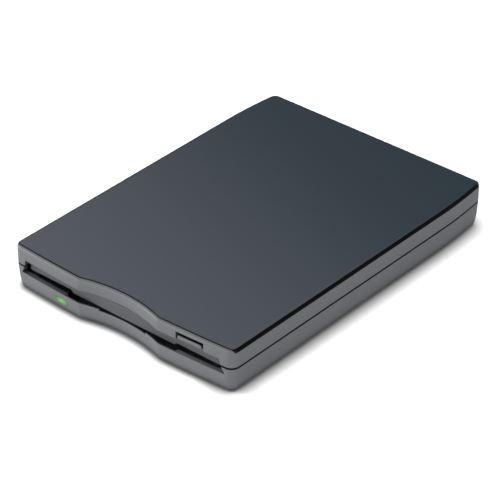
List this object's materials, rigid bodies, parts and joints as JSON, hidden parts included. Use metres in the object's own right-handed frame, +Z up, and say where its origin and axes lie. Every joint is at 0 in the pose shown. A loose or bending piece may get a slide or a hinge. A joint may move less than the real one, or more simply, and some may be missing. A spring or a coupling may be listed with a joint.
{
  "type": "external floppy disk drive",
  "caption": "slim external floppy disk drive: two-shell case with a painted top plate, a slot with a dust flap, an eject button, an activity light and the whole mechanism inside",
  "frame": {"origin": "centre of the outline, on the surface that the feet stand on", "axes": "+X to the right seen from the front, +Y from the slot to the rear, +Z up"},
  "size_m": [0.103, 0.143, 0.018],
  "materials": {
    "case_upper": "fine satin",
    "case_lower": "fine satin",
    "panel_paint": "satin metallic paint",
    "button_plastic": "fine satin",
    "flap_plastic": "matte",
    "lens_clear": "clear moulded",
    "foot_rubber": "matte",
    "gland_rubber": "matte",
    "screw_steel": "zinc plated",
    "chassis_steel": "zinc plated",
    "cover_steel": "bright rolled",
    "slider_steel": "zinc plated",
    "holder_steel": "bright rolled",
    "pin_steel": "ground",
    "spring_steel": "drawn",
    "board_laminate": "solder mask",
    "copper": "wound wire",
    "bearing_bronze": "sintered",
    "magnet": "bonded ferrite",
    "hub_metal": "turned",
    "carriage_plastic": "glass filled",
    "head_ceramic": "polished",
    "black_plastic": "moulded",
    "white_plastic": "moulded",
    "motor_can": "drawn",
    "chip_epoxy": "moulded",
    "crystal_can": "bright",
    "capacitor_sleeve": "bright",
    "flex_film": "film",
    "cable_film": "film",
    "led_body": "moulded"
  },
  "bodies": {
    "case": {"upper_case": "case_upper", "lower_case": "case_lower", "top_panel": "panel_paint", "led_lens": "lens_clear", "cable_gland": "gland_rubber", "rubber_feet": "foot_rubber", "case_screws": "screw_steel", "eject_springs": "spring_steel", "flap_spring": "spring_steel", "drive_chassis": "chassis_steel", "post_screws": "screw_steel", "drive_cover": "cover_steel", "cover_screws": "screw_steel", "main_board": "board_laminate", "stator_coils": "copper", "spindle_bearing": "bearing_bronze", "carriage_rods": "pin_steel", "rod_clamps": "black_plastic", "stepper_motor": "motor_can", "stepper_bracket": "chassis_steel", "bracket_screws": "screw_steel", "switch_bodies": "black_plastic", "track_sensor": "black_plastic", "index_sensor": "chip_epoxy", "led_chip": "led_body", "board_chips": "chip_epoxy", "board_connector": "white_plastic", "flat_cable": "cable_film", "head_flex": "flex_film", "flex_connector": "white_plastic", "interface_board": "board_laminate", "interface_chips": "chip_epoxy", "interface_crystal": "crystal_can", "interface_capacitors": "capacitor_sleeve", "interface_connector": "white_plastic", "cable_header": "white_plastic"},
    "slider": {"eject_slider": "slider_steel", "eject_button": "button_plastic"},
    "flap": {"dust_flap": "flap_plastic"},
    "holder": {"disk_holder": "holder_steel", "holder_pins": "pin_steel", "lever_pivot": "pin_steel", "lever_spring": "spring_steel"},
    "lever": {"shutter_lever": "slider_steel"},
    "rotor": {"spindle_rotor": "motor_can", "rotor_magnet": "magnet", "spindle_hub": "hub_metal", "drive_pin": "pin_steel"},
    "carriage": {"head_carriage": "carriage_plastic", "screw_follower": "pin_steel", "lower_head": "head_ceramic", "arm_pin": "pin_steel"},
    "arm": {"head_arm": "slider_steel", "upper_head": "head_ceramic", "arm_springs": "spring_steel"},
    "screw": {"lead_screw": "pin_steel"},
    "disk_key": {"disk_plunger": "white_plastic"},
    "protect_key": {"protect_plunger": "white_plastic"},
    "density_key": {"density_plunger": "white_plastic"}
  },
  "joints": [
    {"name": "eject_slide", "type": "slide", "parent": "case", "child": "slider", "axis": [0, -1, 0], "range_m": [0, 0.004], "deforming": ["eject_springs"]},
    {"name": "holder_drop", "type": "slide", "parent": "case", "child": "holder", "axis": [0, 0, -1], "range_m": [0, 0.002]},
    {"name": "arm_lower", "type": "hinge", "parent": "carriage", "child": "arm", "pos_m": [0, 0.049, 0.0105], "axis": [1, 0, 0], "range_deg": [0, 9.3]},
    {"name": "flap_swing", "type": "hinge", "parent": "case", "child": "flap", "pos_m": [0, -0.06815, 0.01265], "axis": [1, 0, 0], "range_deg": [0, 85], "stiffness_Nm_per_rad": 0.0004},
    {"name": "lever_turn", "type": "hinge", "parent": "holder", "child": "lever", "pos_m": [-0.034, 0.026, 0.0131], "axis": [0, 0, 1], "range_deg": [0, 55], "stiffness_Nm_per_rad": 0.001},
    {"name": "screw_turn", "type": "hinge", "parent": "case", "child": "screw", "pos_m": [0.017, 0.04, 0.0089], "axis": [0, 1, 0], "range_deg": [0, 1422.1]},
    {"name": "carriage_slide", "type": "slide", "parent": "case", "child": "carriage", "axis": [0, -1, 0], "range_m": [0, 0.01481], "deforming": ["head_flex"]},
    {"name": "spindle_spin", "type": "hinge", "parent": "case", "child": "rotor", "pos_m": [0, -0.015, 0.006], "axis": [0, 0, -1], "continuous": true},
    {"name": "disk_press", "type": "slide", "parent": "case", "child": "disk_key", "axis": [0, 0, -1], "range_m": [0, 0.001], "stiffness_N_per_m": 50},
    {"name": "protect_press", "type": "slide", "parent": "case", "child": "protect_key", "axis": [0, 0, -1], "range_m": [0, 0.001], "stiffness_N_per_m": 50},
    {"name": "density_press", "type": "slide", "parent": "case", "child": "density_key", "axis": [0, 0, -1], "range_m": [0, 0.001], "stiffness_N_per_m": 50}
  ],
  "couplings": [
    {"joint": "holder_drop", "follows": "eject_slide", "ratio": 0.5},
    {"joint": "arm_lower", "follows": "eject_slide", "rad_per_m": 40.483},
    {"joint": "screw_turn", "follows": "carriage_slide", "rad_per_m": 1675.5}
  ]
}
